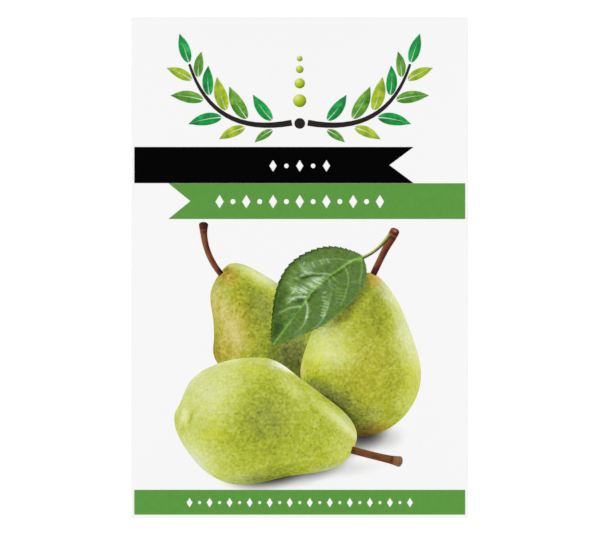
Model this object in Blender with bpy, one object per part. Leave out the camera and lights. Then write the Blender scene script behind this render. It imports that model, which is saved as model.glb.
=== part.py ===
"""A printed plant label: a flat card that carries two ribbons, a foot band, a leafy crest and
three pears with a leaf, each as a thin field of ink on its face."""

import math

import bmesh
import bpy

# Sizes are in millimetres, and MM turns them into metres.
MM = 0.001

# The card lies on its back, with the middle of its underside at the origin.
CARD_WIDTH = 100.0
CARD_HEIGHT = 150.0
CARD_THICKNESS = 0.6
CARD_CORNER_RADIUS = 0.3
CORNER_STEPS = 4
INK_THICKNESS = 0.1
INK_GAP = 0.05
CUTTER_OVERHANG = 0.2
WELD_DISTANCE = 0.001

# Ribbons and foot band.
FIELD_EDGE = 49.5
BLACK_RIBBON_TOP = 36.15
RIBBON_SEAM = 25.31
GREEN_RIBBON_FOOT = 14.6
BLACK_RIBBON_TIPS = 34.06
BLACK_RIBBON_NOTCH = 26.8
GREEN_RIBBON_TIPS = -39.3
GREEN_RIBBON_NOTCH = -32.7
FOOT_BAND_TOP = -66.5
FOOT_BAND_FOOT = -73.9

# Rows of small bare ornaments left open in the ribbons and the foot band.
BLACK_ROW = {"y": 30.5, "pitch": 4.0, "count": 5, "height": 3.6, "dot": 0.7}
GREEN_ROW = {"y": 19.8, "pitch": 4.0, "count": 13, "height": 4.2, "dot": 0.8}
FOOT_ROW = {"y": -70.3, "pitch": 3.0, "count": 23, "height": 3.0, "dot": 0.5}
LOZENGE_SLIMNESS = 0.62
DOT_SIDES = 16

# A pear is a spine of three points from its foot to its crown, and how full it is to the left
# and to the right of it, at even steps, as a share of the spine's half length. A nick is a
# narrower stretch of the left side: its place, its reach along the spine and its depth.
BACK_PEAR = {
    "spine": ((-11.0, -43.5), (-9.0, -13.0), (-22.0, 0.5)),
    "left": (0.5, 0.58, 0.65, 0.57, 0.54, 0.59, 0.74),
    "right": (0.7, 0.8, 0.8, 0.64, 0.5, 0.37, 0.32),
}
RIGHT_PEAR = {
    "spine": ((18.0, -50.5), (18.0, -24.0), (21.0, -1.5)),
    "left": (0.6, 0.76, 0.78, 0.69, 0.6, 0.45, 0.4),
    "right": (0.85, 0.82, 0.77, 0.68, 0.58, 0.51, 0.4),
}
FRONT_PEAR = {
    "spine": ((-37.5, -44.5), (-10.5, -46.5), (17.0, -51.5)),
    "left": (0.8, 0.76, 0.74, 0.72, 0.58, 0.49, 0.47),
    "right": (0.58, 0.7, 0.71, 0.63, 0.54, 0.55, 0.65),
    "nick": (0.01, 0.035, 0.5),
}
NO_NICK = (0.0, 1.0, 0.0)
PEAR_STEPS = 44

# The leaf is drawn the same way about its midrib, with a toothed edge.
LEAF = {
    "spine": ((19.0, 3.0), (2.5, -4.0), (-8.0, -23.0)),
    "left": (0.8, 0.62, 0.57, 0.54, 0.52, 0.43, 0.3),
    "right": (0.3, 0.5, 0.56, 0.57, 0.49, 0.35, 0.22),
}
LEAF_TEETH = 34
LEAF_TOOTH_DEPTH = 0.38
LEAF_TOOTH_LEAN = 0.004
LEAF_TOOTH_SHARE = 1 / 3

# A stalk is a spine and its half width at even steps along it.
BACK_STALK = {
    "spine": ((-23.5, -2.0), (-29.0, 4.5), (-28.8, 12.9)),
    "half_widths": (0.85, 0.85, 0.85, 0.85, 0.9, 1.0, 1.35),
}
RIGHT_STALK = {
    "spine": ((22.0, -2.0), (25.0, 4.5), (28.5, 11.0)),
    "half_widths": (0.95, 0.95, 0.95, 1.0, 1.1, 1.35, 1.4),
}
FRONT_STALK = {
    "spine": ((15.5, -54.5), (22.5, -56.5), (29.8, -58.0)),
    "half_widths": (1.1, 1.1, 1.1, 1.1, 1.15, 1.25, 1.6),
}
LEAF_STALK = {
    "spine": ((18.7, 3.0), (23.0, 4.5), (26.8, 9.6)),
    "half_widths": (0.5, 0.45, 0.45, 0.5, 0.6),
}
STALK_STEPS = 16
STALK_END_STEPS = 8
STALK_END_BULGE = 0.6

# The crest is two boughs, mirrored, that spring from a knot in the middle and rise to either side.
BOUGH = {
    "spine": ((2.4, 43.4), (26.0, 39.0), (33.0, 60.8)),
    "half_widths": (0.9, 0.75, 0.65, 0.5, 0.35),
}
# The pairs of leaves, from the knot outwards: place along the bough, then the length of each
# leaf and its angle off the bough in degrees, for the one above and the one below.
BOUGH_LEAVES = (
    (0.13, (9.4, 56), (6.4, 32)),
    (0.33, (10.8, 48), (8.4, 38)),
    (0.53, (10.2, 42), (10.0, 44)),
    (0.73, (8.8, 36), (9.8, 44)),
    (0.90, (7.6, 32), (8.2, 40)),
)
BOUGH_LEAF_FULLNESS = (0.36, 0.38, 0.35, 0.27, 0.08)
BOUGH_LEAF_CURL = 0.08
BOUGH_LEAF_CLEARANCE = 0.7
TIP_LEAF_LENGTH = 9.0
CREST_LEAF_STEPS = 12
BERRIES = (((0.0, 50.0), 1.9), ((0.0, 55.2), 1.5), ((0.0, 59.4), 1.1), ((0.0, 62.6), 0.8))
KNOT_PLACE = (0.0, 43.2)
KNOT_RADIUS = 1.6

CARD_WHITE = (0.80, 0.80, 0.80)
RIBBON_BLACK = (0.004, 0.004, 0.006)
BAND_GREEN = (0.112, 0.314, 0.056)
PEAR_GREEN = (0.43, 0.55, 0.05)
PEAR_OLIVE = (0.30, 0.34, 0.05)
LEAF_GREEN = (0.08, 0.20, 0.05)
LEAF_STALK_GREEN = (0.35, 0.42, 0.10)
STALK_BROWN = (0.15, 0.045, 0.015)
BOUGH_BROWN = (0.018, 0.007, 0.005)
CREST_EMERALD = (0.003, 0.32, 0.07)
CREST_LIME = (0.39, 0.53, 0.03)
CREST_MID_GREEN = (0.11, 0.33, 0.045)


def clear_scene():
    for thing in list(bpy.data.objects):
        bpy.data.objects.remove(thing, do_unlink=True)


def new_collection(name):
    collection = bpy.data.collections.new(name)
    bpy.context.scene.collection.children.link(collection)
    return collection


def ink(name, colour, roughness=0.45):
    material = bpy.data.materials.new(name)
    material.use_nodes = True
    shader = material.node_tree.nodes["Principled BSDF"]
    shader.inputs["Base Color"].default_value = (*colour, 1.0)
    shader.inputs["Roughness"].default_value = roughness
    shader.inputs["Metallic"].default_value = 0.0
    return material


def smooth_value(values, share):
    """The value at a share of the way along evenly spaced ones, on a smooth curve through them."""
    last = len(values) - 1
    place = min(max(share, 0.0), 1.0) * last
    i = min(int(place), last - 1)
    f = place - i
    here, after = values[i], values[i + 1]
    before = values[i - 1] if i else 2 * here - after
    beyond = values[i + 2] if i + 2 <= last else 2 * after - here
    bend = 2 * before - 5 * here + 4 * after - beyond + f * (3 * (here - after) + beyond - before)
    return here + 0.5 * f * (after - before + f * bend)


def spine_point(spine, t):
    (x0, y0), (x1, y1), (x2, y2) = spine
    a, b, c = (1 - t) ** 2, 2 * t * (1 - t), t * t
    return a * x0 + b * x1 + c * x2, a * y0 + b * y1 + c * y2


def spine_direction(spine, t):
    (x0, y0), (x1, y1), (x2, y2) = spine
    x = (1 - t) * (x1 - x0) + t * (x2 - x1)
    y = (1 - t) * (y1 - y0) + t * (y2 - y1)
    size = math.hypot(x, y)
    return x / size, y / size


def spine_length(spine, steps=60):
    points = [spine_point(spine, i / steps) for i in range(steps + 1)]
    return sum(math.dist(points[i], points[i + 1]) for i in range(steps))


def beside(spine, t, offset):
    """The point that lies this far to the left of the spine."""
    x, y = spine_point(spine, t)
    dx, dy = spine_direction(spine, t)
    return x - dy * offset, y + dx * offset


def fruit_outline(spine, left, right, steps, grow=0.0, nick=NO_NICK):
    """A rounded outline about a spine, closed at both ends as an ellipse is."""
    half = spine_length(spine) / 2
    place, length, depth = nick
    left_points, right_points = [], []
    for i in range(steps + 1):
        turn = math.pi * i / steps
        t = (1 - math.cos(turn)) / 2
        reach = half * math.sin(turn)
        nicked = 1 - depth * math.exp(-(((t - place) / length) ** 2))
        left_reach = reach * smooth_value(left, t) * nicked
        right_reach = reach * smooth_value(right, t)
        lengthen = -grow * math.cos(turn)
        dx, dy = spine_direction(spine, t)
        for side, out, points in ((1, left_reach, left_points), (-1, right_reach, right_points)):
            x, y = beside(spine, t, side * (out + grow * math.sin(turn)))
            points.append((x + dx * lengthen, y + dy * lengthen))
    return left_points + right_points[-2:0:-1]


def toothed_outline(spine, left, right, teeth, depth, grow=0.0):
    """A leaf's outline, whose teeth point towards its tip."""
    half = spine_length(spine) / 2
    left_points, right_points = [], []
    for i in range(1, teeth):
        turn = math.pi * i / teeth
        t = (1 - math.cos(turn)) / 2
        for side, fullness, points in ((1, left, left_points), (-1, right, right_points)):
            reach = half * math.sin(turn) * smooth_value(fullness, t) + grow
            bite = min(depth, reach * LEAF_TOOTH_SHARE)
            points.append(beside(spine, max(t - LEAF_TOOTH_LEAN, 0.0), side * reach))
            points.append(beside(spine, t, side * (reach - bite)))
    return [spine_point(spine, 0.0)] + left_points + [spine_point(spine, 1.0)] + right_points[::-1]


def stalk_outline(spine, half_widths, grow=0.0):
    """A stalk's outline, with a square foot and a softly rounded end."""
    left, right = [], []
    for i in range(STALK_STEPS + 1):
        t = i / STALK_STEPS
        reach = smooth_value(half_widths, t) + grow
        left.append(beside(spine, t, reach))
        right.append(beside(spine, t, -reach))
    x, y = spine_point(spine, 1.0)
    dx, dy = spine_direction(spine, 1.0)
    reach = half_widths[-1] + grow
    end = []
    for i in range(1, STALK_END_STEPS):
        turn = math.pi * i / STALK_END_STEPS
        across = reach * math.cos(turn)
        ahead = reach * STALK_END_BULGE * math.sin(turn)
        end.append((x - dy * across + dx * ahead, y + dx * across + dy * ahead))
    return left + end + right[::-1]


def rounded_rectangle(width, height, radius):
    points = []
    corners = ((1, 1, 0), (-1, 1, 90), (-1, -1, 180), (1, -1, 270))
    for across, up, start in corners:
        for i in range(CORNER_STEPS + 1):
            turn = math.radians(start + 90 * i / CORNER_STEPS)
            x = across * (width / 2 - radius) + radius * math.cos(turn)
            y = up * (height / 2 - radius) + radius * math.sin(turn)
            points.append((x, y))
    return points


def disc(centre, radius, sides=DOT_SIDES):
    turns = [2 * math.pi * i / sides for i in range(sides)]
    return [(centre[0] + radius * math.cos(a), centre[1] + radius * math.sin(a)) for a in turns]


def lozenge(centre, height):
    x, y = centre
    half = height / 2
    wide = half * LOZENGE_SLIMNESS
    return [(x + wide, y), (x, y + half), (x - wide, y), (x, y - half)]


def ornament_row(row):
    """A row of lozenges and dots in turn, set about the middle of the card."""
    shapes = []
    for i in range(row["count"]):
        centre = ((i - (row["count"] - 1) / 2) * row["pitch"], row["y"])
        if i % 2 == 0:
            shapes.append(lozenge(centre, row["height"]))
        else:
            shapes.append(disc(centre, row["dot"]))
    return shapes


def as_closed_mesh(curve_object, collection):
    """The curve's own mesh as a new object, with its caps welded to its sides."""
    bpy.context.view_layer.update()
    graph = bpy.context.evaluated_depsgraph_get()
    mesh = bpy.data.meshes.new_from_object(curve_object.evaluated_get(graph))
    shape = bmesh.new()
    shape.from_mesh(mesh)
    bmesh.ops.remove_doubles(shape, verts=shape.verts, dist=WELD_DISTANCE * MM)
    bmesh.ops.recalc_face_normals(shape, faces=shape.faces)
    shape.to_mesh(mesh)
    shape.free()
    name = curve_object.name
    place = curve_object.matrix_world.copy()
    bpy.data.objects.remove(curve_object, do_unlink=True)
    solid = bpy.data.objects.new(name, mesh)
    mesh.name = name
    solid.matrix_world = place
    collection.objects.link(solid)
    return solid


def flat_solid(name, outlines, foot, thickness, collection, material=None):
    """A flat solid from its outline, in which any further outlines are openings."""
    curve = bpy.data.curves.new(name, "CURVE")
    curve.dimensions = "2D"
    curve.fill_mode = "BOTH"
    curve.extrude = thickness / 2 * MM
    for outline in outlines:
        spline = curve.splines.new("POLY")
        spline.points.add(len(outline) - 1)
        for point, (x, y) in zip(spline.points, outline):
            point.co = (x * MM, y * MM, 0.0, 1.0)
        spline.use_cyclic_u = True
    if material:
        curve.materials.append(material)
    solid = bpy.data.objects.new(name, curve)
    solid.location.z = (foot + thickness / 2) * MM
    collection.objects.link(solid)
    return as_closed_mesh(solid, collection)


def print_field(name, outlines, material):
    return flat_solid(name, outlines, CARD_THICKNESS, INK_THICKNESS, label, material)


def cut_away(field, cutter_name, outline):
    """Takes the outline of a field in front out of this one, right through."""
    cutter = flat_solid(
        cutter_name,
        [outline],
        CARD_THICKNESS - CUTTER_OVERHANG,
        INK_THICKNESS + 2 * CUTTER_OVERHANG,
        cutters,
    )
    cutter.hide_render = True
    cutter.display_type = "WIRE"
    knock_out = field.modifiers.new("behind " + cutter_name, "BOOLEAN")
    knock_out.operation = "DIFFERENCE"
    knock_out.solver = "EXACT"
    knock_out.object = cutter


def mirrored(outline):
    return [(-x, y) for x, y in reversed(outline)]


clear_scene()
label = new_collection("printed_plant_label")
cutters = new_collection("cutters")

# The card.
card_outline = rounded_rectangle(CARD_WIDTH, CARD_HEIGHT, CARD_CORNER_RADIUS)
card_plastic = ink("card_plastic", CARD_WHITE, 0.4)
flat_solid("label_sheet", [card_outline], 0.0, CARD_THICKNESS, label, card_plastic)

# The ribbons, each with a swallowtail end, and the foot band.
black_foot = RIBBON_SEAM + INK_GAP / 2
green_top = RIBBON_SEAM - INK_GAP / 2
black_outline = [
    (-FIELD_EDGE, black_foot),
    (BLACK_RIBBON_TIPS, black_foot),
    (BLACK_RIBBON_NOTCH, (BLACK_RIBBON_TOP + RIBBON_SEAM) / 2),
    (BLACK_RIBBON_TIPS, BLACK_RIBBON_TOP),
    (-FIELD_EDGE, BLACK_RIBBON_TOP),
]
black_openings = ornament_row(BLACK_ROW)
print_field("black_ribbon", [black_outline] + black_openings, ink("black_ink", RIBBON_BLACK))
green_outline = [
    (GREEN_RIBBON_TIPS, GREEN_RIBBON_FOOT),
    (FIELD_EDGE, GREEN_RIBBON_FOOT),
    (FIELD_EDGE, green_top),
    (GREEN_RIBBON_TIPS, green_top),
    (GREEN_RIBBON_NOTCH, (RIBBON_SEAM + GREEN_RIBBON_FOOT) / 2),
]
green_openings = ornament_row(GREEN_ROW)
print_field("green_ribbon", [green_outline] + green_openings, ink("ribbon_green_ink", BAND_GREEN))
foot_outline = [
    (-FIELD_EDGE, FOOT_BAND_FOOT),
    (FIELD_EDGE, FOOT_BAND_FOOT),
    (FIELD_EDGE, FOOT_BAND_TOP),
    (-FIELD_EDGE, FOOT_BAND_TOP),
]
foot_openings = ornament_row(FOOT_ROW)
print_field("foot_band", [foot_outline] + foot_openings, ink("foot_green_ink", BAND_GREEN))

# The pears, the nearer in front of the farther.
right_shape = fruit_outline(steps=PEAR_STEPS, grow=INK_GAP, **RIGHT_PEAR)
front_shape = fruit_outline(steps=PEAR_STEPS, grow=INK_GAP, **FRONT_PEAR)
leaf_shape = toothed_outline(teeth=LEAF_TEETH, depth=LEAF_TOOTH_DEPTH, grow=INK_GAP, **LEAF)
back_stalk_shape = stalk_outline(grow=INK_GAP, **BACK_STALK)
right_stalk_shape = stalk_outline(grow=INK_GAP, **RIGHT_STALK)
front_stalk_shape = stalk_outline(grow=INK_GAP, **FRONT_STALK)
leaf_stalk_shape = stalk_outline(grow=INK_GAP, **LEAF_STALK)

back_pear = print_field(
    "back_pear",
    [fruit_outline(steps=PEAR_STEPS, **BACK_PEAR)],
    ink("back_pear_ink", PEAR_OLIVE),
)
cut_away(back_pear, "right_pear_before_back", right_shape)
cut_away(back_pear, "front_pear_before_back", front_shape)
cut_away(back_pear, "leaf_before_back", leaf_shape)
cut_away(back_pear, "back_stalk_cutter", back_stalk_shape)
right_pear = print_field(
    "right_pear",
    [fruit_outline(steps=PEAR_STEPS, **RIGHT_PEAR)],
    ink("right_pear_ink", PEAR_GREEN),
)
cut_away(right_pear, "front_pear_before_right", front_shape)
cut_away(right_pear, "leaf_before_right", leaf_shape)
cut_away(right_pear, "right_stalk_cutter", right_stalk_shape)
front_pear = print_field(
    "front_pear",
    [fruit_outline(steps=PEAR_STEPS, **FRONT_PEAR)],
    ink("front_pear_ink", PEAR_GREEN),
)
cut_away(front_pear, "front_stalk_cutter", front_stalk_shape)

# The stalks and the leaf.
print_field("back_stalk", [stalk_outline(**BACK_STALK)], ink("back_stalk_ink", STALK_BROWN))
right_stalk = print_field(
    "right_stalk", [stalk_outline(**RIGHT_STALK)], ink("right_stalk_ink", STALK_BROWN)
)
cut_away(right_stalk, "leaf_stalk_cutter", leaf_stalk_shape)
print_field("front_stalk", [stalk_outline(**FRONT_STALK)], ink("front_stalk_ink", STALK_BROWN))
leaf_stalk = print_field(
    "leaf_stalk", [stalk_outline(**LEAF_STALK)], ink("leaf_stalk_ink", LEAF_STALK_GREEN)
)
cut_away(leaf_stalk, "leaf_before_stalk", leaf_shape)
print_field(
    "leaf",
    [toothed_outline(teeth=LEAF_TEETH, depth=LEAF_TOOTH_DEPTH, **LEAF)],
    ink("leaf_ink", LEAF_GREEN),
)


def crest_leaf(start, heading, size, curl):
    """A plain bough leaf from its base point, its heading and its length."""
    x, y = start
    dx, dy = math.cos(heading), math.sin(heading)
    middle = (x + dx * size / 2 - dy * size * curl, y + dy * size / 2 + dx * size * curl)
    spine = (start, middle, (x + dx * size, y + dy * size))
    return fruit_outline(spine, BOUGH_LEAF_FULLNESS, BOUGH_LEAF_FULLNESS, CREST_LEAF_STEPS)


def bough_leaves():
    """Name, outline and turn in the order of inks of each leaf on the right-hand bough."""
    spine = BOUGH["spine"]
    leaves = []
    for number, (place, above, below) in enumerate(BOUGH_LEAVES, 1):
        half_width = smooth_value(BOUGH["half_widths"], place)
        dx, dy = spine_direction(spine, place)
        along = math.atan2(dy, dx)
        for side, rank, (size, angle) in ((1, "upper", above), (-1, "lower", below)):
            base = beside(spine, place, side * (half_width + BOUGH_LEAF_CLEARANCE))
            heading = along + side * math.radians(angle)
            shape = crest_leaf(base, heading, size, -side * BOUGH_LEAF_CURL)
            leaves.append((f"{rank}_leaf_{number}", shape, number + (side < 0)))
    dx, dy = spine_direction(spine, 1.0)
    base = spine_point(spine, 1.0)
    base = (base[0] + dx * BOUGH_LEAF_CLEARANCE, base[1] + dy * BOUGH_LEAF_CLEARANCE)
    leaves.append(("tip_leaf", crest_leaf(base, math.atan2(dy, dx), TIP_LEAF_LENGTH, 0.0), 1))
    return leaves


# The crest.
crest_inks = (("lime", CREST_LIME), ("emerald", CREST_EMERALD), ("mid_green", CREST_MID_GREEN))
bough_outline = stalk_outline(**BOUGH)
for hand, turned in (("right", list), ("left", mirrored)):
    bough_ink = ink(hand + "_bough_ink", BOUGH_BROWN)
    print_field(hand + "_bough", [turned(bough_outline)], bough_ink)
    for rank, shape, order in bough_leaves():
        shade, colour = crest_inks[order % len(crest_inks)]
        name = f"{hand}_{rank}"
        print_field(name, [turned(shape)], ink(f"{name}_{shade}", colour))
print_field("crest_knot", [disc(KNOT_PLACE, KNOT_RADIUS)], ink("knot_ink", BOUGH_BROWN))
for number, (place, radius) in enumerate(BERRIES, 1):
    name = f"crest_berry_{number}"
    print_field(name, [disc(place, radius)], ink(name + "_ink", CREST_LIME))
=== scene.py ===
import math

import bmesh
import bpy
import numpy as np
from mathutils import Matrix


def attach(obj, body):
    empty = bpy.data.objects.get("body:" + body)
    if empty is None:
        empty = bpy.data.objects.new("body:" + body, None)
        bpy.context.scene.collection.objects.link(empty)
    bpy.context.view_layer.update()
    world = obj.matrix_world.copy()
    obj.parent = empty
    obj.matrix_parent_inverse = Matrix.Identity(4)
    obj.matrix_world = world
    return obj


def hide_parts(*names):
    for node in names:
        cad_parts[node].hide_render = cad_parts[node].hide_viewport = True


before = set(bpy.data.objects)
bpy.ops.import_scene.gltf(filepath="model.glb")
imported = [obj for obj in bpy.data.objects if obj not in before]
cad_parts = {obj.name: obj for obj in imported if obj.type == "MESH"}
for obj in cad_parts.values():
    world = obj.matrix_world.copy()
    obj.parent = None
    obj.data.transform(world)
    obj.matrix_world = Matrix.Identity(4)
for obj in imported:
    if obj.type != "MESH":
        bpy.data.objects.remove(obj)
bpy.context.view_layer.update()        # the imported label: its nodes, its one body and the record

# Lengths on the label are in millimetres, and MM turns them into metres.
MM = 0.001

# The card lies on its back, with the middle of its underside at the origin.
CARD_WIDTH = 100.0
CARD_HEIGHT = 150.0
CARD_THICKNESS = 0.6
CARD_CORNER_RADIUS = 0.3
CARD_CORNER_SEGMENTS = 4
DIE_CUT_SOFTENING = 0.06
DIE_CUT_SEGMENTS = 3

# How high each film of ink stands. A nearer one is printed over a farther one.
BACK_PEAR_FILM = 0.62
RIGHT_PEAR_FILM = 0.64
FRONT_PEAR_FILM = 0.66
STALK_FILM = 0.68
LEAF_FILM = 0.68
TOP_FILM = 0.70
WELD = 1e-7

# Each pear is a spine from its foot to its crown, its fullness to either side, and a nick.
BACK_PEAR = {
    "spine": ((-11.0, -43.5), (-9.0, -13.0), (-22.0, 0.5)),
    "left": (0.5, 0.58, 0.65, 0.57, 0.54, 0.59, 0.74),
    "right": (0.7, 0.8, 0.8, 0.64, 0.5, 0.37, 0.32),
}
RIGHT_PEAR = {
    "spine": ((18.0, -50.5), (18.0, -24.0), (21.0, -1.5)),
    "left": (0.6, 0.76, 0.78, 0.69, 0.6, 0.45, 0.4),
    "right": (0.85, 0.82, 0.77, 0.68, 0.58, 0.51, 0.4),
}
FRONT_PEAR = {
    "spine": ((-37.5, -44.5), (-10.5, -46.5), (17.0, -51.5)),
    "left": (0.8, 0.76, 0.74, 0.72, 0.58, 0.49, 0.47),
    "right": (0.58, 0.7, 0.71, 0.63, 0.54, 0.55, 0.65),
    "nick": (0.01, 0.035, 0.5),
}
NO_NICK = (0.0, 1.0, 0.0)
PEAR_ROWS = 120
PEAR_COLUMNS = 56

LEAF_SPINE = ((19.0, 3.0), (2.5, -4.0), (-8.0, -23.0))
LEAF_LEFT = (0.8, 0.62, 0.57, 0.54, 0.52, 0.43, 0.3)
LEAF_RIGHT = (0.3, 0.5, 0.56, 0.57, 0.49, 0.35, 0.22)
LEAF_TEETH = 34
LEAF_TOOTH_DEPTH = 0.38
LEAF_TOOTH_LEAN = 0.004
LEAF_TOOTH_SHARE = 1 / 3
LEAF_ROWS_PER_TOOTH = 5
LEAF_COLUMNS = 140

BACK_STALK = {
    "spine": ((-23.5, -2.0), (-29.0, 4.5), (-28.8, 12.9)),
    "half_widths": (0.85, 0.85, 0.85, 0.85, 0.9, 1.0, 1.35),
}
RIGHT_STALK = {
    "spine": ((22.0, -2.0), (25.0, 4.5), (28.5, 11.0)),
    "half_widths": (0.95, 0.95, 0.95, 1.0, 1.1, 1.35, 1.4),
}
FRONT_STALK = {
    "spine": ((15.5, -54.5), (22.5, -56.5), (29.8, -58.0)),
    "half_widths": (1.1, 1.1, 1.1, 1.1, 1.15, 1.25, 1.6),
}
LEAF_STALK = {
    "spine": ((18.7, 3.0), (23.0, 4.5), (26.8, 9.6)),
    "half_widths": (0.5, 0.45, 0.45, 0.5, 0.6),
}
STALK_ROWS = 48
STALK_COLUMNS = 12
STALK_END_ROWS = 6
STALK_END_BULGE = 0.6

BOUGH = {
    "spine": ((2.4, 43.4), (26.0, 39.0), (33.0, 60.8)),
    "half_widths": (0.9, 0.75, 0.65, 0.5, 0.35),
}
BOUGH_LEAVES = (
    (0.13, (9.4, 56), (6.4, 32)),
    (0.33, (10.8, 48), (8.4, 38)),
    (0.53, (10.2, 42), (10.0, 44)),
    (0.73, (8.8, 36), (9.8, 44)),
    (0.90, (7.6, 32), (8.2, 40)),
)
BOUGH_LEAF_FULLNESS = (0.36, 0.38, 0.35, 0.27, 0.08)
BOUGH_LEAF_CURL = 0.08
BOUGH_LEAF_CLEARANCE = 0.7
TIP_LEAF_LENGTH = 9.0
CREST_LEAF_ROWS = 24
CREST_LEAF_COLUMNS = 5
CREST_MIDRIB = 0.14
BERRIES = (((0.0, 50.0), 1.9), ((0.0, 55.2), 1.5), ((0.0, 59.4), 1.1), ((0.0, 62.6), 0.8))
BERRY_RINGS = 12
BERRY_SIDES = 48

# The leaf's midrib, from its stalk to its tip, with its width and its light at even steps.
MIDRIB = {
    "points": (
        (18.9, 3.0), (15.4, 2.0), (11.3, -0.8), (7.9, -3.3), (4.3, -6.3), (1.7, -10.0), (-0.9, -13.7),
        (-3.7, -17.3), (-7.8, -22.8),
    ),
    "widths": (0.9, 0.65, 0.5, 0.4, 0.4, 0.5, 0.4, 0.45, 0.5),
    "lights": (0.22, 0.24, 0.18, 0.1, 0.1, 0.22, 0.06, 0.16, 0.2),
}
# The veins, and the grooves beside them, which darken: points from the midrib outwards, then
# the width and the light at either end.
LEAF_LINES = (
    (((15.3, 2.0), (12.1, 2.7), (9.3, 2.6), (6.8, 2.4), (4.6, 1.9), (1.6, 0.9)),
     (0.5, 0.4), (0.12, 0.05)),
    (((9.0, -2.0), (7.1, -1.7), (5.1, -1.8), (3.1, -1.4), (1.0, -1.9), (-0.9, -3.1)),
     (0.5, 0.4), (0.2, 0.05)),
    (((1.7, -8.7), (0.1, -8.7), (-1.5, -8.9), (-2.8, -9.9), (-3.9, -10.8)), (0.55, 0.5), (0.26, 0.1)),
    (((0.0, -11.6), (-1.5, -11.8), (-3.0, -12.0), (-4.5, -12.7), (-6.0, -13.4)), (0.6, 0.35), (0.3, 0.14)),
    (((-3.8, -17.1), (-5.7, -16.7), (-7.0, -16.1)), (0.4, 0.3), (0.12, 0.04)),
    (((18.4, 2.2), (18.7, 0.2), (18.3, -2.6), (17.9, -4.6)), (0.5, 0.5), (0.1, 0.14)),
    (((13.5, 0.2), (14.3, -1.6), (14.6, -3.6), (14.4, -5.3), (13.9, -7.3), (13.3, -9.2), (12.2, -11.2)),
     (0.5, 0.5), (0.16, 0.08)),
    (((9.6, -2.6), (10.9, -3.9), (12.3, -5.1)), (0.4, 0.3), (0.2, 0.05)),
    (((8.6, -3.4), (9.1, -4.9), (9.5, -6.6), (9.2, -8.6), (8.5, -11.4), (7.6, -13.9)),
     (0.6, 0.4), (0.08, 0.08)),
    (((7.6, -13.9), (6.8, -15.6), (6.0, -16.6), (5.0, -17.5), (3.8, -18.2)), (0.5, 0.4), (0.2, 0.1)),
    (((1.8, -10.2), (2.3, -11.7), (2.3, -13.1), (2.0, -14.8)), (0.5, 0.6), (0.24, 0.3)),
    (((2.0, -14.8), (1.3, -16.8), (-0.2, -18.6), (-2.0, -20.0)), (0.5, 0.3), (0.26, 0.05)),
    (((-3.3, -15.6), (-2.9, -17.2), (-2.9, -18.9)), (0.4, 0.3), (0.1, 0.04)),
    (((6.4, -2.5), (4.3, -2.3), (2.8, -2.5), (1.4, -3.0), (0.6, -3.2)), (0.5, 0.4), (-0.25, -0.25)),
    (((-0.8, -6.3), (0.2, -7.2), (1.3, -8.2)), (0.35, 0.4), (-0.3, -0.3)),
    (((14.4, 0.6), (11.4, -1.6), (9.0, -2.8)), (0.6, 0.6), (-0.08, -0.14)),
    (((7.9, -3.9), (6.8, -5.0)), (0.8, 0.7), (-0.14, -0.08)),
    (((5.6, -6.6), (4.0, -7.8), (2.6, -9.6)), (0.6, 1.0), (-0.1, -0.14)),
    (((0.7, -9.8), (-0.8, -10.1), (-2.2, -10.4)), (0.9, 0.7), (-0.12, -0.08)),
)
VEIN_STEPS = 6
LINE_SOFTNESS = 0.6
# Small bright rungs between the veins, where the blade is drawn up: centre, length and slant.
LEAF_RUNGS = (
    ((7.4, -7.4), 0.9, 25), ((7.2, -8.8), 1.1, -5), ((7.6, -10.0), 1.5, -20), ((7.9, -10.8), 1.2, -14),
    ((7.8, -11.7), 1.2, -20), ((7.4, -12.6), 1.1, -8), ((7.1, -13.4), 0.9, 10), ((6.8, -14.3), 1.0, 0),
    ((8.5, 2.0), 1.2, -56), ((6.4, 1.6), 1.2, -52), ((4.1, 0.9), 1.3, -58), ((0.8, -2.2), 0.7, 10),
    ((-0.9, -3.2), 0.8, -30), ((1.2, 1.2), 0.8, 60), ((-2.3, -7.6), 0.9, 40),
)
FAINT_RUNGS = (
    ((12.6, -6.4), 2.6, -6), ((12.4, -7.4), 2.7, -9), ((12.2, -8.4), 2.6, -11), ((12.0, -9.4), 2.2, -12),
    ((11.8, -10.4), 1.6, -12), ((10.6, -5.4), 2.0, -38), ((10.2, -6.4), 1.6, -34), ((7.5, 1.8), 1.2, -52),
    ((5.3, 1.2), 1.2, -52), ((2.9, 0.3), 1.2, -50), ((3.0, -13.2), 0.9, 20), ((-4.4, -14.6), 1.6, 24),
    ((-4.8, -15.4), 1.4, 20), ((-2.0, -13.9), 1.4, 28), ((8.9, -4.2), 1.3, 62), ((16.4, -4.2), 1.6, -8),
    ((-1.4, -1.2), 1.5, -30), ((-2.6, -2.6), 1.5, -34), ((0.2, 0.6), 1.4, -40), ((-3.6, -4.6), 1.4, -34),
)
RUNG_WIDTH = 0.45
RUNG_LIGHT = 0.2
FAINT_RUNG_LIGHT = 0.08

# The copy-stand camera looks straight down, and takes in FRAME_WIDTH at the face of the card.
LENS = 85.0
SENSOR = 36.0
FRAME_WIDTH = 179.64
CAMERA_AIM = (0.075, -0.2246)
SOFTBOX_SIZE = 0.75
SOFTBOX_DISTANCE = 1.0
SOFTBOX_POWER = 7.6
SOFTBOX_SLANT = math.radians(45)
FILL_STRENGTH = 0.25
FLOOR_SIZE = 5.0
NEAREST_SEEN = 0.01


# Shapes.

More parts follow.
